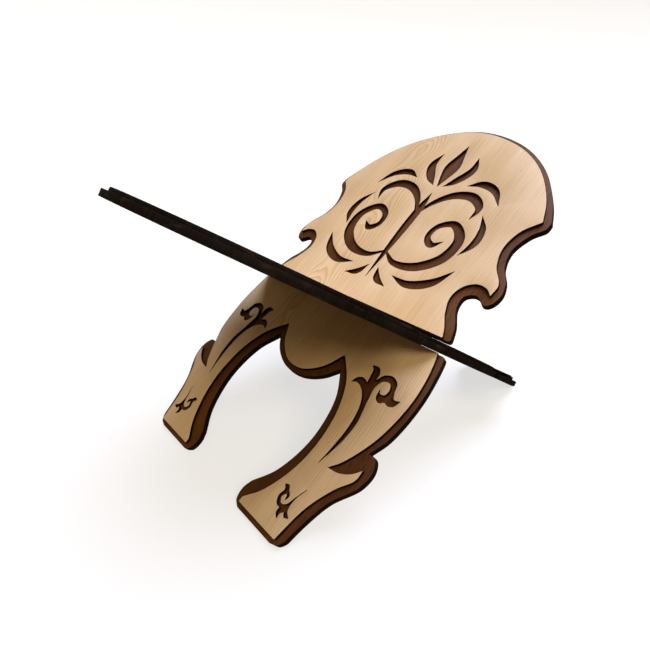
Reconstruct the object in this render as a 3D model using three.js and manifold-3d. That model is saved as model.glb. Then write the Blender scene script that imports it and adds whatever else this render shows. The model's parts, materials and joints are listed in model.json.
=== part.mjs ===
// A cut-wood book stand: two alike boards, cross-lapped so they stand as an X and swing about one line.
// Millimetres, +Z up, the floor at Z = 0, the crossing line along X. A board's own frame has x across it,
// y up it from the crossing line and z out of its decorated face.
import * as THREE from "three";
import { mergeVertices } from "three/addons/utils/BufferGeometryUtils.js";
import Module from "manifold-3d";

const wasm = await Module();
wasm.setup();

// Driving sizes.
const openAngle = 110; // between the two top halves, in degrees
const facingWidth = 240; // across the shoulders of the facing
const headLength = 228.5; // crossing line to the facing's crest
const legLength = 190.3; // crossing line to the bottom of the facing's feet
const baseThickness = 5.5;
const facingThickness = 2.8;
const footMargin = 4.4; // base past the facing at the bottom of the feet
const crestMargin = 4.2; // base past the facing at the crest

// Clearances and the cutter.
const glueLine = 0.3; // between base and facing
const slotPlay = 0.25; // each side of the other board, on the stops
const slotEndPlay = 0.3; // from the crossing's middle to the end of each slot
const baseCorner = 3; // radius left on the base's outer corners
const facingCorner = 0.35; // radius left on the facing's tips
const cornerSteps = 4; // segments round a corner
const leastTurn = THREE.MathUtils.degToRad(15); // a gentler bend isn't rounded as a corner
const longestCutBack = 0.45; // share of a run that a rounded corner may take
const cutterReach = 1; // how far the ornament's cutter stands out of both faces
const pointWidth = 0.02; // half width left at a stroke's point
const weldDistance = 1e-4; // corners nearer than this are one
const curveStep = 3.8; // longest segment along an outline
const ornamentStep = 1.7; // longest segment along a drawn ornament
const strokeStep = 2.8; // longest segment along a stroke

// What follows from them. The other board fills T (1 + cos a) / sin a of the slot at either stop.
const lean = THREE.MathUtils.degToRad((180 - openAngle) / 2);
const boardThickness = baseThickness + glueLine + facingThickness;
const crossAngle = THREE.MathUtils.degToRad(openAngle);
const crossFill = (boardThickness * (1 + Math.abs(Math.cos(crossAngle)))) / Math.sin(crossAngle);
const slotWidth = crossFill + 2 * slotPlay;
const crossingHeight =
  (legLength + footMargin) * Math.sin(lean) + (boardThickness / 2) * Math.cos(lean);

// The drawn outlines fit a facing 240 wide, 228.5 above the crossing and 190.3 below it, and scale from that.
const wide = facingWidth / 240;
const tall = headLength / 228.5;
const low = legLength / 190.3;
const place = ([x, y]) => new THREE.Vector3(x * wide, y * (y > 0 ? tall : low), 0);

// One smooth run through a few points, as short straight segments; its ends are corners. Two points are
// joined straight.
function run(points, step) {
  if (points.length === 2) {
    return points.map(place);
  }
  const curve = new THREE.CatmullRomCurve3(points.map(place), false, "centripetal");
  const steps = Math.max(points.length, Math.ceil(curve.getLength() / step));
  return curve.getSpacedPoints(steps);
}

// The mirror image of a run's points, and of a finished ring, walked the other way.
const mirrored = (points) => points.map(([x, y]) => [-x, y]).reverse();
const mirroredRing = (ring) => ring.map((p) => new THREE.Vector3(-p.x, p.y, 0)).reverse();

// Facing: arch, waist bout, horn, hook and thigh, thumb, foot, inner leg and the lobe between the legs.
const arch = [
  [0, 228.5],
  [49.2, 216.6],
  [84.5, 192.6],
  [109.9, 159],
  [120, 135.1],
];
const bout = [
  [120, 135.1],
  [108, 120.4],
  [104.1, 101],
  [109.3, 82.9],
  [118.8, 70.6],
];
const horn = [
  [118.8, 70.6],
  [121.4, 65.2],
  [120.6, 54.8],
];
const hookAndThigh = [
  [120.6, 54.8],
  [114.1, 60],
  [104.6, 61.2],
  [95.2, 55],
  [91.2, 42.6],
  [96.5, 26.8],
  [104.6, 13.9],
  [111.2, -2],
  [117.2, -21.2],
  [120.3, -50],
  [115.2, -86.7],
  [102, -117],
  [94.6, -126],
];
const thumb = [
  [94.6, -126],
  [104.6, -124.4],
  [113.6, -119.6],
  [120.4, -112],
];
const foot = [
  [120.4, -112],
  [120.3, -121],
  [110.6, -135.7],
  [100.3, -159.2],
  [94.4, -190.3],
];
const innerLeg = [
  [46, -185.6],
  [58.2, -170.6],
  [69.7, -142.8],
  [73, -116],
  [69.1, -86.7],
  [58.2, -63],
  [40.1, -44.3],
];
const lobe = [
  [40.1, -44.3],
  [28.8, -62],
  [12.6, -73.5],
  [0, -75.7],
];
const facingRight = [arch, bout, horn, hookAndThigh, thumb, foot,
  [foot.at(-1), [46, -190.3]], [[46, -190.3], innerLeg[0]], innerLeg];

// Base: the same run of forms, larger and rounder, so that a border shows all round the facing.
const crest = headLength + crestMargin;
const sole = legLength + footMargin;
const baseArch = [
  [0, crest / tall],
  [50.8, 220.8],
  [87.9, 195.2],
  [114.7, 159.8],
  [125.2, 138.8],
];
const baseSide = [
  [125.2, 138.8],
  [124.8, 131.6],
  [116.6, 122],
  [110.2, 104],
  [113.6, 86.7],
  [123.4, 72],
  [126.7, 59.8],
  [123.8, 49.8],
  [118.6, 46.6],
  [108.7, 52.5],
  [99.8, 48.6],
  [99.8, 37.2],
  [109.4, 20.4],
  [115.4, 3],
  [120, -12],
  [124.3, -46.8],
  [121.2, -82.8],
  [114.6, -99.9],
];
const baseThumb = [
  [114.6, -99.9],
  [120.6, -99.8],
  [125.9, -108.4],
  [124.6, -123],
  [111, -146.2],
  [104.4, -168.4],
  [101, -186.6],
];
const soleY = -sole / low;
const baseToe = [
  [101, -186.6],
  [97.4, -192.2],
  [90, soleY],
];
const baseHeel = [
  [46, soleY],
  [40, -190.6],
  [38.3, -180.6],
  [41.4, -172.2],
];
const baseInner = [
  [41.4, -172.2],
  [54.7, -153.2],
  [62.8, -126.2],
  [63.4, -104],
  [57.6, -78.7],
  [43.6, -56.6],
];
const baseLobe = [
  [43.6, -56.6],
  [30.8, -70],
  [15, -78.4],
  [0, -80.7],
];
const baseRight = [baseArch, baseSide, baseThumb, baseToe,
  [baseToe.at(-1), baseHeel[0]], baseHeel, baseInner];

// Where a run going down crosses a height.
function crossing(points, y) {
  const below = points.findIndex((p) => p.y <= y);
  const [from, to] = [points[below - 1], points[below]];
  return from.clone().lerp(to, (y - from.y) / (to.y - from.y));
}

// The runs of one side with the slot cut into the one that crosses the middle, open at the board's edge.
function slotted(runs) {
  return runs.flatMap((points) => {
    if (points[0].y < slotWidth / 2 || points.at(-1).y > -slotWidth / 2) {
      return [points];
    }
    const [top, bottom] = [slotWidth / 2, -slotWidth / 2].map((y) => crossing(points, y));
    const innerTop = new THREE.Vector3(-slotEndPlay, top.y, 0);
    const innerBottom = new THREE.Vector3(-slotEndPlay, bottom.y, 0);
    return [
      [...points.filter((p) => p.y > top.y), top],
      [top, innerTop],
      [innerTop, innerBottom],
      [innerBottom, bottom],
      [bottom, ...points.filter((p) => p.y < bottom.y)],
    ];
  });
}

// Takes a length off the start of a run.
function shortened(points, length) {
  let left = length;
  let i = 0;
  while (i < points.length - 2 && left > points[i].distanceTo(points[i + 1])) {
    left -= points[i].distanceTo(points[i + 1]);
    i += 1;
  }
  const start = points[i].clone().lerp(points[i + 1], left / points[i].distanceTo(points[i + 1]));
  return [start, ...points.slice(i + 1)];
}

// A run's length.
const span = (points) => points.slice(1).reduce((sum, p, i) => sum + p.distanceTo(points[i]), 0);

// One closed ring from runs that follow one another clockwise. Where they turn right, which is an outward
// corner, both are cut back by radius * tan(turn / 2) and joined by a curve that the corner point draws out.
function roundedRing(runs, radius) {
  const cutBack = runs.map((points, i) => {
    const before = runs.at(i - 1);
    const arriving = points[0].clone().sub(before.at(-2)).normalize();
    const leaving = points[1].clone().sub(points[0]).normalize();
    const turn = arriving.angleTo(leaving);
    const outward = arriving.cross(leaving).z < 0;
    const most = Math.min(span(points), span(before)) * longestCutBack;
    return outward && turn > leastTurn ? Math.min(radius * Math.tan(turn / 2), most) : 0;
  });
  return runs.flatMap((points, i) => {
    const [start, end] = [cutBack[i], cutBack[(i + 1) % runs.length]];
    const open = shortened(points, start);
    const kept = shortened(open.reverse(), end).reverse();
    if (end === 0) {
      return kept.slice(0, -1);
    }
    const next = shortened(runs[(i + 1) % runs.length], end)[0];
    const corner = new THREE.QuadraticBezierCurve3(kept.at(-1), points.at(-1), next);
    return [...kept, ...corner.getPoints(cornerSteps).slice(1, -1)];
  });
}

// A whole outline from its right half: the arch and the lobe are drawn across the middle as one run each.
function whole(rightRuns, lobeRun, radius) {
  const [rightArch, ...rest] = rightRuns;
  const across = [...mirrored(rightArch), ...rightArch.slice(1)];
  const under = [...lobeRun, ...mirrored(lobeRun).slice(1)];
  const drawn = (runs) => runs.map((points) => run(points, curveStep));
  const left = drawn(rest.map(mirrored).reverse());
  return roundedRing([...drawn([across]), ...slotted(drawn(rest)), ...drawn([under]), ...left], radius);
}

// A closed ring from runs that follow one another, with its corners left sharp.
const ornamentRing = (runs) => runs.flatMap((points) => run(points, ornamentStep).slice(0, -1));

// Leg ornament: a tall stem that ends in two leaves and a rolled leaf.
const legSpray = ornamentRing([
  [[84.9, -128.1], [87.2, -108], [87.2, -88], [83, -71.5], [75.7, -61.9], [67.6, -58.8], [62.7, -60.9]],
  [[62.7, -60.9], [65.4, -55.3], [70.6, -53.2], [76.2, -55.1]],
  [[76.2, -55.1], [74.9, -48.2], [73.7, -43.4], [70.5, -40.2]],
  [[70.5, -40.2], [77, -39.4], [80.6, -43], [81.7, -49.9]],
  [[81.7, -49.9], [85.9, -43], [93, -40.6], [100, -44.1], [102.8, -51.6], [106, -56.2], [111.5, -54.9]],
  [[111.5, -54.9], [108.8, -61], [104.6, -62.7], [100.5, -61.4]],
  [[100.5, -61.4], [96.4, -64.2], [91.8, -61.9], [90, -54.5]],
  [[90, -54.5], [92.2, -57.6], [96.7, -56.8], [98, -51.8], [94.8, -46.5], [88.6, -47.3], [84.9, -54.6],
    [87, -67.6], [91.4, -87], [90.6, -104], [84.9, -128.1]],
]);

// Foot ornament: a short stem with a rolled leaf and two small ones.
const footSpray = ornamentRing([
  [[91.7, -148.4], [87.6, -158.4], [84.6, -166.2], [80, -168.5], [76.5, -164.6], [79.3, -160.2],
    [81.1, -164.5]],
  [[81.1, -164.5], [82.2, -160.6], [78.3, -157.2]],
  [[78.3, -157.2], [76.4, -154.6], [72.4, -155.7]],
  [[72.4, -155.7], [75.1, -158.9], [73.9, -165.6], [77, -170.6], [81.2, -171.3]],
  [[81.2, -171.3], [81.3, -175.4], [84.7, -178.4]],
  [[84.7, -178.4], [84.6, -174.2], [87, -171.3]],
  [[87, -171.3], [89.4, -174.2], [93.3, -172.7]],
  [[93.3, -172.7], [88.8, -169.2], [87.9, -160.5], [91.7, -148.4]],
]);

// A drawn stroke: a spine of [x, y, half width], wide where it says so and pointed where it says 0.
function stroke(spine) {
  const line = new THREE.CatmullRomCurve3(
    spine.map(([x, y, half]) => new THREE.Vector3(x * wide, y * tall, half)),
    false,
    "centripetal",
  );
  const steps = Math.ceil(line.getLength() / strokeStep);
  const left = [];
  const right = [];
  for (let i = 0; i <= steps; i += 1) {
    const p = line.getPointAt(i / steps);
    const halfWidth = Math.max(p.z, pointWidth);
    const across = line.getTangentAt(i / steps).setZ(0).normalize().multiplyScalar(halfWidth);
    left.push(new THREE.Vector3(p.x - across.y, p.y + across.x, 0));
    right.unshift(new THREE.Vector3(p.x + across.y, p.y - across.x, 0));
  }
  return [...left, ...right];
}

// Head ornament: a bud over a stem, with scrolls and leaves to both sides.
const headMiddle = [
  [[0, 208, 0], [0, 196, 3.4], [0, 178, 8.2], [0, 163, 4.6], [0, 151, 0]],
  [[0, 142, 0], [0, 124, 3.6], [0, 100, 4.4], [0, 70, 3], [0, 32, 0]],
].map(stroke);
const headRight = [
  [[1, 64, 0.8], [17, 55, 2.8], [41, 58, 4.8], [60, 75, 5.4], [62, 98, 4.8], [47, 112, 3.8],
    [33, 105, 3], [31, 92, 2.8], [40, 84.5, 3.2], [49, 91, 0]],
  [[1, 114, 0.8], [10, 131, 2.8], [26, 144, 4.4], [45, 146, 4.8], [58.5, 135, 3.2], [57, 121, 0]],
  [[6, 152, 0], [15, 161, 4], [24, 177, 4.2], [21, 194, 0]],
  [[31, 158, 0], [45, 163, 3.8], [61, 158, 3.4], [74, 142, 0]],
  [[26, 42, 0], [46, 39, 3.8], [66, 48, 4.2], [79, 66, 0]],
  [[71, 82, 0], [77.5, 97, 3.4], [76, 113, 3], [67, 128, 0]],
  [[6, 45, 0], [13, 34, 3.2], [26, 29, 0]],
].map(stroke);
const rightOrnament = [...headRight, legSpray, footSpray];
const ornament = [...headMiddle, ...rightOrnament, ...rightOrnament.map(mirroredRing)];

// A flat solid that fills a ring from z = bottom to z = top.
function sheet(ring, bottom, top) {
  const outline = new THREE.Shape(ring.map((p) => new THREE.Vector2(p.x, p.y)));
  const geometry = new THREE.ExtrudeGeometry(outline, { depth: top - bottom, bevelEnabled: false });
  geometry.translate(0, 0, bottom);
  geometry.deleteAttribute("normal");
  geometry.deleteAttribute("uv");
  const merged = mergeVertices(geometry, weldDistance);
  const vertProperties = new Float32Array(merged.attributes.position.array);
  const triVerts = new Uint32Array(merged.index.array);
  return new wasm.Manifold(new wasm.Mesh({ numProp: 3, vertProperties, triVerts }));
}

// The two sheets of a board, and the ornament as a cutter that passes right through the facing.
const half = boardThickness / 2;
const facingBack = half - facingThickness;
const baseSheet = sheet(whole(baseRight, baseLobe, baseCorner), -half, baseThickness - half);
const cutter = ornament
  .map((ring) => sheet(ring, facingBack - cutterReach, half + cutterReach))
  .reduce((all, one) => all.add(one));
const facingSheet = sheet(whole(facingRight, lobe, facingCorner), facingBack, half).subtract(cutter);

function toGeometry(solid) {
  const mesh = solid.getMesh();
  const geometry = new THREE.BufferGeometry();
  geometry.setAttribute("position", new THREE.BufferAttribute(new Float32Array(mesh.vertProperties), 3));
  geometry.setIndex(new THREE.BufferAttribute(new Uint32Array(mesh.triVerts), 1));
  const flat = geometry.toNonIndexed();
  flat.computeVertexNormals();
  return flat;
}

const baseGeometry = toGeometry(baseSheet);
const facingGeometry = toGeometry(facingSheet);

function wood(colour, roughness) {
  return new THREE.MeshStandardMaterial({ color: colour, roughness, metalness: 0 });
}

// One board, leaning back by lean, its crossing line through the origin.
function board(name) {
  const group = new THREE.Group();
  group.name = name;
  const base = new THREE.Mesh(baseGeometry, wood(0x5c3518, 0.5));
  base.name = `${name}_base`;
  const facing = new THREE.Mesh(facingGeometry, wood(0xddbf94, 0.45));
  facing.name = `${name}_facing`;
  group.add(base, facing);
  group.rotation.x = lean;
  return group;
}

const stand = new THREE.Group();
stand.name = "book_stand";
const rearBoard = board("rear_board");
const frontBoard = new THREE.Group();
frontBoard.add(board("front_board"));
frontBoard.rotation.z = Math.PI;
stand.add(rearBoard, frontBoard);
for (const part of stand.children) {
  part.position.z = crossingHeight;
}

export default stand;
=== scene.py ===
"""Finishes a crossed-board book stand: sheet wood with laser-cut, scorched edges around a CAD frame."""

import json
import math

import bpy
import numpy as np
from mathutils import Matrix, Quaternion, Vector
from mathutils.geometry import delaunay_2d_cdt


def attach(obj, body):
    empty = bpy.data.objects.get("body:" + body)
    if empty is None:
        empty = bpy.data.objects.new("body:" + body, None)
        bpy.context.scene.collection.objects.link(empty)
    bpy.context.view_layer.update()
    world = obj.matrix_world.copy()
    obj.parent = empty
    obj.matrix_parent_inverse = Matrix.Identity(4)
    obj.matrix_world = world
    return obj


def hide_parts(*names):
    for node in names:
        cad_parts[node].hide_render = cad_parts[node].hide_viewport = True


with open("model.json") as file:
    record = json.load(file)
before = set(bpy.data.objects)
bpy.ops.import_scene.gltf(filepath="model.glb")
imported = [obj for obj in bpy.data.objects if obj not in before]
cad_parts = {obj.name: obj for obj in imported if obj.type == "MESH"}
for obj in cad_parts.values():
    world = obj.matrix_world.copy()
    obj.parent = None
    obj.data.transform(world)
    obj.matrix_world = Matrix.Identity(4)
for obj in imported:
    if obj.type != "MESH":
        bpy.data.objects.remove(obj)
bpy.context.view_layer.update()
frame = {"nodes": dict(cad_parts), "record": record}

bl_info = {
    "name": "Crossed-board book stand",
    "version": (1, 0, 0),
    "blender": (4, 5, 0),
    "location": "View3D > Sidebar > Book Stand",
    "description": "Builds the boards, woods, floor, lights and camera of a cut-wood book stand",
    "category": "Object",
}

MM = 0.001
CUBIC_PIECES = 8  # points worked out along each drawn segment before the even steps are walked
ROWS_AT_ONCE = 500  # rows of a distance table worked out together, to save memory
ROOM_REACH = 6  # arris radii within which the other side of a thin tip is looked for
ROOM_SHARE = 0.6  # share of the room inside a thin tip that its arris may take
MITRE_FLOOR = 0.5  # smallest cosine that a mitre is worked out from, so that no mitre passes 2
FACE_DEPTH_MM = 0.01  # a corner this near to the highest one lies on the decorated face
CDT_ALL_FACES, CDT_NEAR = 1, 1e-6  # the filling's output kind, and how near two points count as one
TINY = 1e-9  # keeps a division away from zero
THROUGH_MM = 300  # noise size through the sheet, so long that a sheet has one pattern from face to face
COLOUR_FACTOR, COLOUR_A, COLOUR_B, COLOUR_OUT = 0, 6, 7, 2  # a colour mix node's sockets
FINE_HEIGHT, PORE_HEIGHT = 0.4, -1.2  # heights in a wood's relief, where the fibres have 1
CHAR_RELIEF = 0.5  # strength of the ridges' relief
ROUGH_SPREAD = 0.16  # how much the fine noise changes a lacquer's roughness, all told
CHAR_ROUGH_SPREAD = 0.3  # the same for burnt wood
RIM_POINTS, BEND_POINTS = 96, 17  # points round the floor, and up its bend
FLOOR_RINGS = (0.001, 0.5, 1.5)  # radii in metres of the rings that the flat floor is drawn with
FLOOR_ROUGHNESS = 0.9
CLIP_START = 0.01  # metres before the camera that aren't drawn


def linear(hex_colour):
    """An sRGB hex colour as linear red, green, blue and alpha."""
    srgb = [int(hex_colour[i : i + 2], 16) / 255 for i in (1, 3, 5)]
    return [c / 12.92 if c <= 0.04045 else ((c + 0.055) / 1.055) ** 2.4 for c in srgb] + [1.0]


# ---------------------------------------------------------------- the boards' own frames


def board_axes(board, side):
    """A board's origin and its axes across, up and out of the decorated face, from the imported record."""
    record = frame["record"]
    origin = np.array(record["behaviour"]["joints"][0]["pos_m"])
    rest = next(m for m in record["mounts"] if m["name"] == board + "_book_rest")
    out = np.array(rest["axis"]) / np.linalg.norm(rest["axis"])
    across = np.array([side, 0.0, 0.0])
    return origin, np.stack([across, np.cross(out, across), out])


BOARDS = {
    "rear": ("rear_board",) + board_axes("rear", 1.0),
    "front": ("front_board",) + board_axes("front", -1.0),
}
# Each board is cut from another part of its sheets, so its grain is shifted by this many millimetres.
GRAIN_SHIFT = {"rear": (0.0, 0.0, 0.0), "front": (613.0, 371.0, 40.0)}


# ---------------------------------------------------------------- outlines


def node_points(node, origin, axes):
    """A CAD node's merged corners in its board's frame, in mm, and its triangles."""
    mesh = frame["nodes"][node].data
    flat = np.empty(len(mesh.vertices) * 3)
    mesh.vertices.foreach_get("co", flat)
    mesh.calc_loop_triangles()
    tri = np.empty(len(mesh.loop_triangles) * 3, dtype=int)
    mesh.loop_triangles.foreach_get("vertices", tri)
    local = (flat.reshape(-1, 3) - origin) @ axes.T / MM
    _, first, same = np.unique(np.round(local, 3), axis=0, return_index=True, return_inverse=True)
    return local[first], same.reshape(-1)[tri].reshape(-1, 3)


def outline_rings(points, triangles):
    """The rings that bound the decorated face, each as an ordered array of x, y.

    An edge bounds the face when its reverse belongs to no triangle of the face. Following such edges gives
    each corner's successor. Doubling the hop log2(n) times spreads the lowest corner number round each ring
    and then counts the steps to that corner, which is the order round the ring.
    """
    top = points[:, 2].max()
    face = triangles[(points[triangles][:, :, 2] > top - FACE_DEPTH_MM).all(axis=1)]
    edges = face[:, [0, 1, 1, 2, 2, 0]].reshape(-1, 2)
    count = len(points)
    border = edges[~np.isin(edges[:, 0] * count + edges[:, 1], edges[:, 1] * count + edges[:, 0])]
    successor = np.arange(count)
    successor[border[:, 0]] = border[:, 1]
    doublings = int(math.ceil(math.log2(count))) + 1
    ring, hop = np.arange(count), successor.copy()
    for _ in range(doublings):
        ring, hop = np.minimum(ring, ring[hop]), hop[hop]
    lowest = ring == np.arange(count)
    hop = np.where(lowest, np.arange(count), successor)
    steps = np.where(lowest, 0, 1)
    for _ in range(doublings):
        steps, hop = steps + steps[hop], hop[hop]
    on = border[:, 0]
    order = on[np.lexsort((-steps[on], ring[on]))]
    cuts = np.flatnonzero(np.diff(ring[order])) + 1
    return [points[part, :2] for part in np.split(order, cuts)]


def smooth_ring(ring, step, corner_turn, straight):
    """A ring drawn as a smooth curve between its corners, with points one step apart.

    Each segment becomes the cubic p(t) = h00 a + h10 u + h01 b + h11 v. a and b are the segment's ends and
    h the Hermite weights. u and v are the tangents there, as long as the segment: the length-weighted mean
    direction where the ring turns gently, and the segment's own at a corner. A segment longer than straight
    stays straight, and the curve beside it starts out along it. Each run from corner to corner is then
    walked in equal steps.
    """
    ahead = np.roll(ring, -1, axis=0) - ring
    length = np.linalg.norm(ahead, axis=1)[:, None]
    way = ahead / length
    back_way, back_length = np.roll(way, 1, axis=0), np.roll(length, 1, axis=0)
    mean = np.where(back_length > straight, back_way, way * back_length + back_way * length)
    mean = np.where(length > straight, way, mean)
    mean /= np.linalg.norm(mean, axis=1)[:, None]
    sharp = (way * back_way).sum(axis=1) < math.cos(corner_turn)
    leave = np.where(sharp[:, None], way, mean) * length
    arrive = np.roll(np.where(sharp[:, None], back_way, mean), -1, axis=0) * length
    t = (np.arange(CUBIC_PIECES) / CUBIC_PIECES)[None, :, None]
    a, b, u, v = (x[:, None, :] for x in (ring, ring + ahead, leave, arrive))
    curve = (2 * t**3 - 3 * t**2 + 1) * a + (t**3 - 2 * t**2 + t) * u
    curve = curve + (3 * t**2 - 2 * t**3) * b + (t**3 - t**2) * v
    curve = curve.reshape(-1, 2)
    first = int(np.argmax(sharp)) * CUBIC_PIECES
    curve = np.roll(curve, -first, axis=0)
    curve = np.concatenate([curve, curve[:1]])
    walked = np.concatenate([[0.0], np.cumsum(np.linalg.norm(np.diff(curve, axis=0), axis=1))])
    corners = np.flatnonzero(np.roll(sharp, -(first // CUBIC_PIECES))) * CUBIC_PIECES
    ends = walked[np.unique(np.concatenate([[0], corners, [len(curve) - 1]]))]
    steps = np.maximum(1, np.round(np.diff(ends) / step).astype(int))
    runs = zip(ends, ends[1:], steps)
    stops = np.concatenate([np.linspace(s, e, n, endpoint=False) for s, e, n in runs])
    return np.stack([np.interp(stops, walked, curve[:, k]) for k in (0, 1)], axis=1)


def inward(ring):
    """Each corner's direction into the wood, which lies to the left of the ring's travel, and its mitre.

    The direction halves the angle between the two segments' left normals. The mitre is 1 / cos(half the
    turn), at most 2, so that a straight wall moves in evenly on both sides of a corner.
    """
    way = np.roll(ring, -1, axis=0) - ring
    way /= np.linalg.norm(way, axis=1)[:, None]
    left = np.stack([-way[:, 1], way[:, 0]], axis=1)
    both = left + np.roll(left, 1, axis=0)
    both /= np.maximum(np.linalg.norm(both, axis=1)[:, None], TINY)
    return both, 1 / np.maximum((both * left).sum(axis=1), MITRE_FLOOR)


def room_inside(points, into, reach):
    """The radius of the largest circle that touches the outline at each point and holds no other point.

    A circle that touches p, bulges along the unit vector n and passes through q has the radius
    |q - p|^2 / (2 (q - p) . n). Only q within reach counts.
    """
    room = np.full(len(points), reach)
    for at in range(0, len(points), ROWS_AT_ONCE):
        gap = points[None, :, :] - points[at : at + ROWS_AT_ONCE, None, :]
        deep = (gap * into[at : at + ROWS_AT_ONCE, None, :]).sum(axis=2)
        radius = (gap**2).sum(axis=2) / np.maximum(2 * deep, TINY)
        radius[deep <= 1e-6] = reach
        room[at : at + ROWS_AT_ONCE] = np.minimum(radius.min(axis=1), reach)
    return room


def edge_profile(low, high, arris, steps):
    """The cut edge's profile as inset and height: a quarter circle at each arris, a straight wall between.

    At angle a the inset is r (1 - sin a) and the height lies r (1 - cos a) inside the face.
    """
    a = np.linspace(0, math.pi / 2, steps)
    inset, drop = arris * (1 - np.sin(a)), arris * (1 - np.cos(a))
    upper = np.stack([inset, high - drop], axis=1)
    lower = np.stack([inset, low + drop], axis=1)[::-1]
    middle = np.array([[0.0, (low + high) / 2]])
    return np.concatenate([upper, middle, lower])


def fill_flat(rings):
    """Triangles that fill the plane between rings: constrained Delaunay, less those inside a hole.

    A triangle is kept when a ray from its middle crosses the rings an odd number of times.
    """
    ends = np.concatenate(rings)
    start = np.cumsum([0] + [len(r) for r in rings])
    following = np.concatenate([np.roll(np.arange(s, s + len(r)), -1) for s, r in zip(start, rings)])
    edges = np.stack([np.arange(len(ends)), following], axis=1)
    corners = [Vector(p) for p in ends]
    places, _, triangles, sources = delaunay_2d_cdt(
        corners, edges.tolist(), [], CDT_ALL_FACES, CDT_NEAR, True
    )[:4]
    crossed = [tuple(place) for place, ids in zip(places, sources) if not ids]
    if crossed:
        raise RuntimeError(f"outlines cross at {crossed[:5]} mm, {len(crossed)} times in all")
    source = np.array([ids[0] for ids in sources])
    faces = source[np.array(triangles)]
    middle = ends[faces].mean(axis=1)
    p, q = ends, ends[following]
    inside = np.empty(len(faces), dtype=bool)
    for at in range(0, len(faces), ROWS_AT_ONCE):
        m = middle[at : at + ROWS_AT_ONCE, None, :]
        spans = (p[None, :, 1] > m[..., 1]) != (q[None, :, 1] > m[..., 1])
        rise = np.where(q[:, 1] == p[:, 1], TINY, q[:, 1] - p[:, 1])
        cross_x = p[:, 0] + (m[..., 1] - p[:, 1]) * (q[:, 0] - p[:, 0]) / rise
        inside[at : at + ROWS_AT_ONCE] = (spans & (m[..., 0] < cross_x)).sum(axis=1) % 2 == 1
    faces = faces[inside]
    a, b, c = (ends[faces[:, k]] for k in range(3))
    turn = (b - a)[:, 0] * (c - a)[:, 1] - (b - a)[:, 1] * (c - a)[:, 0]
    return np.where(turn[:, None] < 0, faces[:, ::-1], faces)


def sheet_mesh(name, rings, low, high, arris, steps):
    """A flat sheet: the edge profile carried round every ring, and the two faces filled between them.

    Corner (i, j) is ring point i moved inward by the profile's inset j, at the profile's height j. The faces
    take the first material and the cut edge the second. Returns the mesh and its corners in the board's
    millimetres.
    """
    profile = edge_profile(low, high, arris, steps)
    rows = len(profile)
    ways, mitres = zip(*(inward(ring) for ring in rings))
    room = room_inside(np.concatenate(rings), np.concatenate(ways), ROOM_REACH * arris)
    cuts = np.cumsum([len(ring) for ring in rings])[:-1]
    push = np.minimum(np.concatenate(mitres), ROOM_SHARE * room / arris)[:, None] * np.concatenate(ways)
    push = np.split(push, cuts)
    points, quads, count = [], [], 0
    for ring, step in zip(rings, push):
        flat = ring[:, None, :] + step[:, None, :] * profile[None, :, :1]
        height = np.broadcast_to(profile[None, :, 1:], (len(ring), rows, 1))
        points.append(np.concatenate([flat, height], axis=2).reshape(-1, 3))
        i = np.arange(len(ring))[:, None]
        j = np.arange(rows - 1)[None, :]
        here, ahead = count + i * rows + j, count + (i + 1) % len(ring) * rows + j
        quads.append(np.stack([here, here + 1, ahead + 1, ahead], axis=2).reshape(-1, 4))
        count += len(ring) * rows
    points, quads = np.concatenate(points), np.concatenate(quads)
    first_row = np.split(np.arange(0, count, rows), cuts)
    fill = fill_flat([points[row, :2] for row in first_row]) * rows
    caps = np.concatenate([fill, fill[:, ::-1] + rows - 1])
    mesh = bpy.data.meshes.new(name)
    corners = np.concatenate([quads.reshape(-1), caps.reshape(-1)])
    sizes = np.concatenate([np.full(len(quads), 4), np.full(len(caps), 3)])
    mesh.vertices.add(len(points))
    mesh.loops.add(len(corners))
    mesh.polygons.add(len(sizes))
    mesh.loops.foreach_set("vertex_index", corners)
    mesh.polygons.foreach_set("loop_start", np.concatenate([[0], np.cumsum(sizes)[:-1]]))
    mesh.polygons.foreach_set("use_smooth", sizes == 4)
    mesh.polygons.foreach_set("material_index", (sizes == 4).astype(int))
    return mesh, points


def make_sheet(node, which, settings, reach_down, materials):
    """Makes the finished sheet that stands for a CAD node and rides with its board.

    reach_down is how far in mm its hidden face goes past the node's.
    """
    body, origin, axes = BOARDS[which]
    corners, triangles = node_points(node, origin, axes)
    step, straight = settings.outline_step / MM, settings.straight / MM
    rings = [
        smooth_ring(ring, step, settings.corner_turn, straight) for ring in outline_rings(corners, triangles)
    ]
    low, high = corners[:, 2].min() - reach_down, corners[:, 2].max()
    name = node + "_sheet"
    mesh, points = sheet_mesh(name, rings, low, high, settings.arris / MM, settings.arris_steps)
    world = points * MM @ axes + origin
    mesh.vertices.foreach_set("co", world.reshape(-1))
    mesh.update(calc_edges=True)
    grain = mesh.attributes.new("grain_mm", "FLOAT_VECTOR", "POINT")
    grain.data.foreach_set("vector", (points + np.array(GRAIN_SHIFT[which])).reshape(-1))
    mesh.set_sharp_from_angle(angle=settings.corner_turn)
    for material in materials:
        mesh.materials.append(material)
    sheet = bpy.data.objects.new(name, mesh)
    bpy.context.scene.collection.objects.link(sheet)
    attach(sheet, body)
    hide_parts(node)


# ---------------------------------------------------------------- materials


def add(tree, kind, inputs, out=0, **settings):
    """Adds a node, sets its settings, sets or links each input by name or number, and returns one output."""
    node = tree.nodes.new(kind)
    for key, value in settings.items():
        setattr(node, key, value)
    for key, value in inputs.items():
        if isinstance(value, bpy.types.NodeSocket):
            tree.links.new(value, node.inputs[key])
        else:
            node.inputs[key].default_value = value
    return node.outputs[out]


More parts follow.
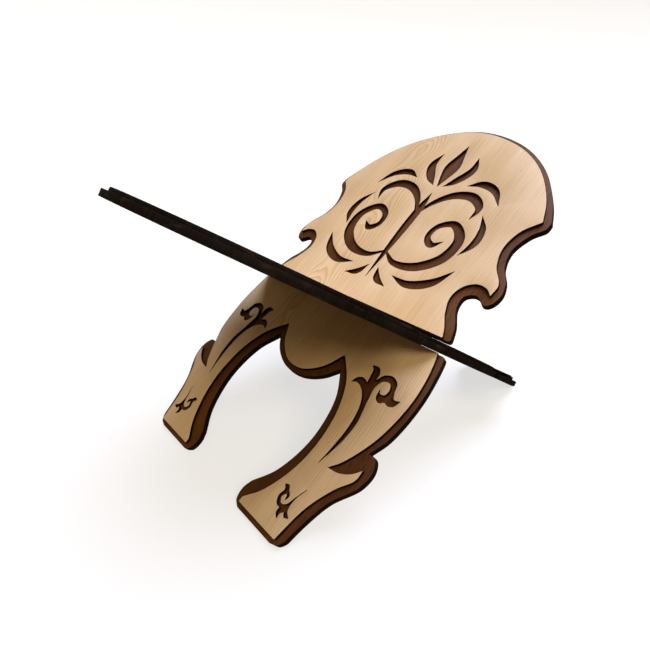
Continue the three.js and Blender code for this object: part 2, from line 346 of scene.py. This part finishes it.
def new_material(name):
    """An empty node material, its tree and the socket that carries the board's own millimetres."""
    material = bpy.data.materials.new(name)
    material.use_nodes = True
    tree = material.node_tree
    tree.nodes.clear()
    place = add(tree, "ShaderNodeAttribute", {}, "Vector", attribute_name="grain_mm")
    return material, tree, place


def add_noises(tree, place, kinds):
    """Noises by name, each from its size across, along and through the sheet in mm, and its detail."""
    noises = {}
    for kind, (across, along, through, detail) in kinds.items():
        scale = [1 / size for size in (across, along, through)]
        scaled = add(tree, "ShaderNodeMapping", {"Vector": place, "Scale": scale})
        noises[kind] = add(tree, "ShaderNodeTexNoise", {"Vector": scaled, "Scale": 1.0, "Detail": detail})
    return noises


def lacquered_wood(name, wood):
    """A flat-sawn sheet of wood under a thin satin lacquer.

    The sheet cuts the tree's rings at a depth h below the pith, so a point's ring is sqrt(x^2 + h^2) over
    the pitch, where x is the distance across the board from the heart line. h changes slowly along the
    board, which draws arches on the heart line and even straight lines away from it. Slow noise bends all.
    """
    material, tree, place = new_material(name)
    across, along = (add(tree, "ShaderNodeSeparateXYZ", {0: place}, axis) for axis in (0, 1))
    noise = add_noises(tree, place, {
        "bend": (60, 170, THROUGH_MM, 1.5),
        "depth": (120, 90, THROUGH_MM, 1.0),
        "wobble": (9, 26, THROUGH_MM, 1.0),
        "fade": (20, 150, THROUGH_MM, 2.0),
        "band": (42, 260, THROUGH_MM, 2.0),
        "fibre": (wood.fibre_width / MM, 38, THROUGH_MM, 3.0),
        "fine": (0.5, 9, THROUGH_MM, 2.0),
        "pore": (wood.pore_width / MM, wood.pore_length / MM, THROUGH_MM, 1.0),
    })

    # Each step by its name, its operation and its terms, which are numbers, sockets or earlier names. A
    # MULTIPLY_ADD is the first term times the second, plus the third.
    step = {}
    for name_made, operation, *terms in (
        ("bent", "MULTIPLY_ADD", noise["bend"], wood.sway / MM, across),
        ("x", "MULTIPLY_ADD", "bent", 1.0, -wood.heart / MM),
        ("x squared", "MULTIPLY_ADD", "x", "x", 0.0),
        ("slope", "MULTIPLY_ADD", along, wood.taper, wood.depth / MM),
        ("h", "MULTIPLY_ADD", noise["depth"], wood.depth_sway / MM, "slope"),
        ("radius squared", "MULTIPLY_ADD", "h", "h", "x squared"),
        ("true radius", "SQRT", "radius squared"),
        ("radius", "MULTIPLY_ADD", noise["wobble"], wood.wobble / MM, "true radius"),
        ("ring", "DIVIDE", "radius", wood.ring_pitch / MM),
        ("cycle", "FRACT", "ring"),
        ("late", "POWER", "cycle", wood.ring_sharpness),
    ):
        inputs = {k: step[term] if isinstance(term, str) else term for k, term in enumerate(terms)}
        step[name_made] = add(tree, "ShaderNodeMath", inputs, operation=operation)

    # Each mask runs from 0 to 1 as its source runs from the first number to the second.
    masks = {
        kind: add(
            tree, "ShaderNodeMapRange", {0: source, 1: start, 2: end}, interpolation_type="SMOOTHSTEP"
        )
        for kind, source, start, end in (
            ("fall", step["cycle"], 1.0, 0.82),
            ("fade", noise["fade"], 0.15, 0.6),
            ("band", noise["band"], 0.35, 0.65),
            ("fibre", noise["fibre"], 0.42, 0.7),
            ("pore", noise["pore"], wood.pore_threshold, wood.pore_threshold + 0.06),
        )
    }
    # A growth line darkens slowly towards the late wood, ends at once, and comes and goes along the board.
    line = add(tree, "ShaderNodeMath", {0: step["late"], 1: masks["fall"]}, operation="MULTIPLY")
    line = add(tree, "ShaderNodeMath", {0: line, 1: masks["fade"]}, operation="MULTIPLY")

    # The face from the ground up: bands, growth lines, fibres, pores.
    face = list(wood.light)
    for mask, strength, over in (
        (masks["band"], 1.0, wood.warm),
        (line, wood.line_strength, wood.line),
        (masks["fibre"], wood.fibre_strength, wood.line),
        (masks["pore"], wood.pore_strength, wood.pore),
    ):
        much = add(tree, "ShaderNodeMath", {0: mask, 1: strength}, operation="MULTIPLY")
        layers = {COLOUR_FACTOR: much, COLOUR_A: face, COLOUR_B: list(over)}
        face = add(tree, "ShaderNodeMix", layers, COLOUR_OUT, data_type="RGBA")

    rough = {0: noise["fine"], 1: ROUGH_SPREAD, 2: wood.roughness - ROUGH_SPREAD / 2}
    rough = add(tree, "ShaderNodeMath", rough, operation="MULTIPLY_ADD")
    # The fibres stand up, the fine noise adds to them, and the pores sink.
    relief = noise["fibre"]
    for layer, height in ((noise["fine"], FINE_HEIGHT), (masks["pore"], PORE_HEIGHT)):
        terms = {0: layer, 1: height, 2: relief}
        relief = add(tree, "ShaderNodeMath", terms, operation="MULTIPLY_ADD")
    bump = {"Strength": wood.relief_strength, "Distance": wood.relief_depth, "Height": relief}
    surface = {
        "Base Color": face, "Roughness": rough, "Normal": add(tree, "ShaderNodeBump", bump), "IOR": wood.ior,
        "Coat Weight": wood.coat, "Coat Roughness": wood.coat_roughness,
    }
    shader = add(tree, "ShaderNodeBsdfPrincipled", surface)
    tree.links.new(shader, tree.nodes.new("ShaderNodeOutputMaterial").inputs["Surface"])
    return material


def lacquered_maple(scene):
    """Maple sheet, sanded and lacquered: pale and close-grained, with fine even lines and a soft gleam."""
    return lacquered_wood("lacquered_maple", scene.bookstand_maple)


def lacquered_walnut(scene):
    """Walnut sheet, sanded and lacquered: red-brown, with dark open pores that break up the gleam."""
    return lacquered_wood("lacquered_walnut", scene.bookstand_walnut)


def laser_scorched_edge(scene, sheet):
    """Wood burnt by the cutting beam: dry and nearly black, with upright ridges and paler, thinner char."""
    edge = scene.bookstand_edge
    material, tree, place = new_material("laser_scorched_" + sheet)
    # The ridges are drawn about twice as wide as real ones, so that they show.
    noise = add_noises(tree, place, {"ridge": (0.7, 0.7, 60, 2.0), "soot": (14, 14, 5, 3.0)})
    char = list(edge.soot)
    for kind, start, end, over in (("ridge", 0.45, 0.75, edge.brown), ("soot", 0.55, 0.75, edge.pale)):
        span = {0: noise[kind], 1: start, 2: end}
        mask = add(tree, "ShaderNodeMapRange", span, interpolation_type="SMOOTHSTEP")
        layers = {COLOUR_FACTOR: mask, COLOUR_A: char, COLOUR_B: list(over)}
        char = add(tree, "ShaderNodeMix", layers, COLOUR_OUT, data_type="RGBA")
    rough = {0: noise["ridge"], 1: CHAR_ROUGH_SPREAD, 2: edge.roughness - CHAR_ROUGH_SPREAD / 2}
    rough = add(tree, "ShaderNodeMath", rough, operation="MULTIPLY_ADD")
    bump = {"Strength": CHAR_RELIEF, "Distance": edge.ridge_depth, "Height": noise["ridge"]}
    surface = {
        "Base Color": char, "Roughness": rough, "Normal": add(tree, "ShaderNodeBump", bump), "IOR": edge.ior,
    }
    shader = add(tree, "ShaderNodeBsdfPrincipled", surface)
    tree.links.new(shader, tree.nodes.new("ShaderNodeOutputMaterial").inputs["Surface"])
    return material


# ---------------------------------------------------------------- settings


def length(name, description, default, low=0.0, high=1.0):
    """A length property in metres."""
    return bpy.props.FloatProperty(
        name=name, description=description, default=default, min=low, max=high,
        unit="LENGTH", subtype="DISTANCE", precision=5,
    )


def factor(name, description, default, low=0.0, high=1.0):
    """A plain number property."""
    return bpy.props.FloatProperty(
        name=name, description=description, default=default, min=low, max=high, precision=3
    )


def point(name, description, default):
    """A point in metres."""
    return bpy.props.FloatVectorProperty(
        name=name, description=description, default=default, size=3, subtype="XYZ", unit="LENGTH"
    )


def colour(name, description, hex_colour):
    """A colour property from an sRGB hex value."""
    return bpy.props.FloatVectorProperty(
        name=name, description=description, default=linear(hex_colour), size=4,
        min=0.0, max=1.0, subtype="COLOR",
    )


class SheetSettings(bpy.types.PropertyGroup):
    arris: length("Arris", "Radius worn on the edges of the cut sheets", 0.00025, high=0.001)
    arris_steps: bpy.props.IntProperty(
        name="Arris steps", description="Points round each arris", default=4, min=2, max=8
    )
    outline_step: length("Outline step", "Distance between points along a cut edge", 0.0008, high=0.01)
    corner_turn: bpy.props.FloatProperty(
        name="Corner turn", description="An outline turning more than this is a corner",
        default=math.radians(42), min=0.1, max=1.5, subtype="ANGLE",
    )
    straight: length("Straight", "An outline segment longer than this is a straight edge", 0.006, high=0.1)
    bedding: length("Bedding", "How far the facing sinks into the glue line", 0.00025, high=0.0003)


class MapleSettings(bpy.types.PropertyGroup):
    light: colour("Light", "Pale sapwood", "#DDC4A0")
    warm: colour("Warm", "Warmer bands", "#D9BD95")
    line: colour("Line", "Growth lines and fibres", "#A07A4B")
    pore: colour("Fleck", "Small brown flecks", "#8A6440")
    ring_pitch: length("Ring pitch", "Distance between growth lines", 0.0019, high=0.1)
    ring_sharpness: factor("Ring sharpness", "How thin each growth line is", 2.0, 1.0, 20.0)
    heart: length("Heart line", "Where the arches of the grain lie, across the board", -0.042, -0.3, 0.3)
    depth: length("Depth", "Depth of the cut below the pith", 0.012, -0.3, 0.3)
    taper: factor("Taper", "How fast that depth changes along the board", 0.09, -1.0, 1.0)
    depth_sway: length("Depth sway", "How much the depth wanders", 0.03, high=0.3)
    sway: length("Sway", "How far slow bends move the grain", 0.02, high=0.3)
    wobble: length("Wobble", "How far tight bends move the grain", 0.0016, high=0.3)
    line_strength: factor("Line strength", "Depth of the growth lines", 0.66)
    fibre_width: length("Fibre width", "Width of a fibre streak", 0.0012, high=0.01)
    fibre_strength: factor("Fibre strength", "Depth of the fibres", 0.2)
    pore_width: length("Fleck width", "Width of a fleck", 0.0014, high=0.01)
    pore_length: length("Fleck length", "Length of a fleck", 0.007, high=0.05)
    pore_threshold: factor("Fleck threshold", "Higher is rarer", 0.77)
    pore_strength: factor("Fleck strength", "Depth of the flecks", 0.55)
    roughness: factor("Roughness", "Satin lacquer on sanded maple", 0.45)
    ior: factor("IOR", "Cellulose and lacquer", 1.45, 1.0, 2.0)
    relief_strength: factor("Relief", "How much the fibres stand up", 0.3)
    relief_depth: length("Relief depth", "Height of the fibres", 0.00006, high=0.001)
    coat: factor("Coat", "Thin lacquer over the wood", 0.1)
    coat_roughness: factor("Coat roughness", "Satin lacquer", 0.3)


class WalnutSettings(bpy.types.PropertyGroup):
    light: colour("Light", "Lighter walnut", "#683D14")
    warm: colour("Warm", "Reddish walnut", "#542F10")
    line: colour("Line", "Growth lines and fibres", "#311A0A")
    pore: colour("Pore", "Open pores", "#1E0E06")
    ring_pitch: length("Ring pitch", "Distance between growth lines", 0.0034, high=0.1)
    ring_sharpness: factor("Ring sharpness", "How thin each growth line is", 2.0, 1.0, 20.0)
    heart: length("Heart line", "Where the arches of the grain lie, across the board", 0.03, -0.3, 0.3)
    depth: length("Depth", "Depth of the cut below the pith", 0.02, -0.3, 0.3)
    taper: factor("Taper", "How fast that depth changes along the board", 0.14, -1.0, 1.0)
    depth_sway: length("Depth sway", "How much the depth wanders", 0.05, high=0.3)
    sway: length("Sway", "How far slow bends move the grain", 0.04, high=0.3)
    wobble: length("Wobble", "How far tight bends move the grain", 0.003, high=0.3)
    line_strength: factor("Line strength", "Depth of the growth lines", 0.5)
    fibre_width: length("Fibre width", "Width of a fibre streak", 0.0011, high=0.01)
    fibre_strength: factor("Fibre strength", "Depth of the fibres", 0.5)
    pore_width: length("Pore width", "Width of a pore", 0.0008, high=0.01)
    pore_length: length("Pore length", "Length of a pore", 0.009, high=0.05)
    pore_threshold: factor("Pore threshold", "Higher is rarer", 0.62)
    pore_strength: factor("Pore strength", "Depth of the pores", 0.6)
    roughness: factor("Roughness", "Satin lacquer on open-grained walnut", 0.56)
    ior: factor("IOR", "Cellulose and lacquer", 1.32, 1.0, 2.0)
    relief_strength: factor("Relief", "How much the pores sink", 0.5)
    relief_depth: length("Relief depth", "Depth of the pores", 0.00008, high=0.001)
    coat: factor("Coat", "Thin lacquer over the wood", 0.03)
    coat_roughness: factor("Coat roughness", "Satin lacquer", 0.3)


class EdgeSettings(bpy.types.PropertyGroup):
    soot: colour("Soot", "The darkest burnt wood", "#0E0805")
    brown: colour("Brown", "Ridges where the scorch is thin", "#1F130B")
    pale: colour("Pale", "Patches where the scorch is thinnest", "#2E2118")
    roughness: factor("Roughness", "Dry charred wood", 0.7)
    ior: factor("IOR", "Porous char reflects less than solid wood", 1.2, 1.0, 2.0)
    ridge_depth: length("Ridge depth", "Height of the ridges that the beam leaves", 0.00008, high=0.001)


class StageSettings(bpy.types.PropertyGroup):
    floor: colour("Floor", "Acrylic floor and backdrop", "#969593")
    glow: colour("Glow", "Light that comes through the floor", "#FFFFFF")
    sky: colour("Sky", "Even light from all round", "#FFDCA6")
    sky_strength: factor("Sky strength", "Strength of the even light", 0.2, 0.0, 10.0)
    top_strength: factor("Top light", "Broad cool light from above and behind", 4.1, 0.0, 100.0)
    side_strength: factor("Side light", "Soft warm light from the right", 1.68, 0.0, 100.0)
    glow_strength: factor("Glow strength", "Strength of the light through the floor", 0.68, 0.0, 10.0)
    flat_reach: length("Flat reach", "Radius of the flat floor", 3.0, high=50.0)
    bend_radius: length("Bend radius", "Radius of the bend into the backdrop", 1.5, high=50.0)
    wall_height: length("Wall height", "Height of the backdrop", 5.0, high=50.0)
    lens_mm: factor("Lens", "Focal length in mm on a 36 mm sensor", 27.65, 10.0, 200.0)
    camera_place: point("Camera place", "From the middle of the crossing", (0.3124, -0.2862, 0.1992))
    camera_aim: point("Camera aim", "From the middle of the crossing", (0.0053, -0.0314, -0.0088))
    camera_roll: bpy.props.FloatProperty(
        name="Camera roll", description="Turn about the line of sight",
        default=math.radians(-1.3), subtype="ANGLE",
    )


# ---------------------------------------------------------------- operators


class BOOKSTAND_OT_bases(bpy.types.Operator):
    """Makes the walnut base sheets of both boards"""

    bl_idname = "bookstand.bases"
    bl_label = "Walnut Bases"

    def execute(self, context):
        scene = context.scene
        materials = (lacquered_walnut(scene), laser_scorched_edge(scene, "walnut"))
        for which in BOARDS:
            make_sheet(which + "_board_base", which, scene.bookstand_sheet, 0.0, materials)
        return {"FINISHED"}


class BOOKSTAND_OT_facings(bpy.types.Operator):
    """Makes the maple facings with their cut-through ornament"""

    bl_idname = "bookstand.facings"
    bl_label = "Maple Facings"

    def execute(self, context):
        scene = context.scene
        materials = (lacquered_maple(scene), laser_scorched_edge(scene, "maple"))
        bedding = scene.bookstand_sheet.bedding / MM
        for which in BOARDS:
            make_sheet(which + "_board_facing", which, scene.bookstand_sheet, bedding, materials)
        return {"FINISHED"}


def aim(obj, place, target):
    """Puts a light or the camera at a place, pointing at a target."""
    obj.location = place
    obj.rotation_mode = "QUATERNION"
    obj.rotation_quaternion = (Vector(target) - Vector(place)).to_track_quat("-Z", "Y")


class BOOKSTAND_OT_stage(bpy.types.Operator):
    """Makes the floor, the backdrop, the lights and the camera"""

    bl_idname = "bookstand.stage"
    bl_label = "Floor, Lights and Camera"

    def execute(self, context):
        scene = context.scene
        stage = scene.bookstand_stage
        # Going out, the floor is flat, bends up by a quarter circle and ends in an upright wall. At angle a
        # of the bend, the reach is R + r sin a and the height r (1 - cos a).
        around = np.linspace(0, 2 * math.pi, RIM_POINTS, endpoint=False)[:, None]
        bend = np.linspace(0, math.pi / 2, BEND_POINTS)
        far = stage.flat_reach + stage.bend_radius
        reach = np.concatenate([FLOOR_RINGS, stage.flat_reach + stage.bend_radius * np.sin(bend), [far]])
        low = np.zeros(len(FLOOR_RINGS))
        height = np.concatenate([low, stage.bend_radius * (1 - np.cos(bend)), [stage.wall_height]])
        grid = np.stack([
            reach * np.cos(around), reach * np.sin(around), np.tile(height, (RIM_POINTS, 1)),
        ], axis=2)
        rows = reach.size
        i, j = np.arange(RIM_POINTS)[:, None], np.arange(rows - 1)[None, :]
        here, ahead = i * rows + j, (i + 1) % RIM_POINTS * rows + j
        quads = np.stack([here, here + 1, ahead + 1, ahead], axis=2).reshape(-1, 4)
        middle = [k * rows for k in range(RIM_POINTS)]
        mesh = bpy.data.meshes.new("floor")
        mesh.from_pydata(grid.reshape(-1, 3).tolist(), [], quads.tolist() + [middle])
        mesh.polygons.foreach_set("use_smooth", np.ones(len(mesh.polygons), dtype=bool))
        floor = bpy.data.objects.new("floor", mesh)
        scene.collection.objects.link(floor)
        # Matt acrylic, lit a little from behind: it stays pale in the stand's shade and up the wall.
        paint = bpy.data.materials.new("backlit_acrylic")
        paint.use_nodes = True
        shader = paint.node_tree.nodes["Principled BSDF"]
        for socket, value in {
            "Base Color": list(stage.floor), "Roughness": FLOOR_ROUGHNESS,
            "Emission Color": list(stage.glow), "Emission Strength": stage.glow_strength,
        }.items():
            shader.inputs[socket].default_value = value
        mesh.materials.append(paint)
        # The floor throws no light back on the stand, so the shade under the boards stays deep, and its wall
        # doesn't stand in the way of the lights.
        floor.visible_diffuse = False
        floor.visible_glossy = False
        floor.visible_shadow = False

        world = bpy.data.worlds.new("even_light")
        scene.world = world
        world.use_nodes = True
        sky = world.node_tree.nodes["Background"]
        sky.inputs["Color"].default_value = list(stage.sky)
        sky.inputs["Strength"].default_value = stage.sky_strength

        # Each light by its strength, its breadth in degrees, its colour and the way to it from the crossing.
        lamps = {
            "top": (stage.top_strength, 50, "#DAE3FF", (0.04, 0.3, 0.95)),
            "side": (stage.side_strength, 24, "#FFEAC2", (0.66, -0.2, 0.6)),
        }
        for name, (strength, breadth, tint, way) in lamps.items():
            data = bpy.data.lights.new(name, "SUN")
            data.energy = strength
            data.angle = math.radians(breadth)
            data.color = linear(tint)[:3]
            lamp = bpy.data.objects.new(name, data)
            scene.collection.objects.link(lamp)
            aim(lamp, way, (0.0, 0.0, 0.0))

        crossing = Vector(BOARDS["rear"][1])
        camera_data = bpy.data.cameras.new("camera")
        camera_data.lens = stage.lens_mm
        camera_data.clip_start = CLIP_START
        camera = bpy.data.objects.new("camera", camera_data)
        scene.collection.objects.link(camera)
        aim(camera, crossing + Vector(stage.camera_place), crossing + Vector(stage.camera_aim))
        camera.rotation_quaternion @= Quaternion((0, 0, 1), stage.camera_roll)
        scene.camera = camera
        scene.view_settings.view_transform = "Standard"
        return {"FINISHED"}


class BOOKSTAND_PT_panel(bpy.types.Panel):
    """Lists the stand's builders"""

    bl_label = "Book Stand"
    bl_idname = "BOOKSTAND_PT_panel"
    bl_space_type = "VIEW_3D"
    bl_region_type = "UI"
    bl_category = "Book Stand"

    def draw(self, context):
        for operator in OPERATORS:
            self.layout.operator(operator.bl_idname)


SETTINGS = {
    "bookstand_sheet": SheetSettings,
    "bookstand_maple": MapleSettings,
    "bookstand_walnut": WalnutSettings,
    "bookstand_edge": EdgeSettings,
    "bookstand_stage": StageSettings,
}
OPERATORS = (BOOKSTAND_OT_bases, BOOKSTAND_OT_facings, BOOKSTAND_OT_stage)


def register():
    for name, group in SETTINGS.items():
        bpy.utils.register_class(group)
        setattr(bpy.types.Scene, name, bpy.props.PointerProperty(type=group))
    for operator in OPERATORS:
        bpy.utils.register_class(operator)
    bpy.utils.register_class(BOOKSTAND_PT_panel)


def unregister():
    bpy.utils.unregister_class(BOOKSTAND_PT_panel)
    for operator in reversed(OPERATORS):
        bpy.utils.unregister_class(operator)
    for name, group in reversed(list(SETTINGS.items())):
        delattr(bpy.types.Scene, name)
        bpy.utils.unregister_class(group)


def main():
    register()
    bpy.ops.bookstand.bases()
    bpy.ops.bookstand.facings()
    bpy.ops.bookstand.stage()


if __name__ == "__main__":
    main()
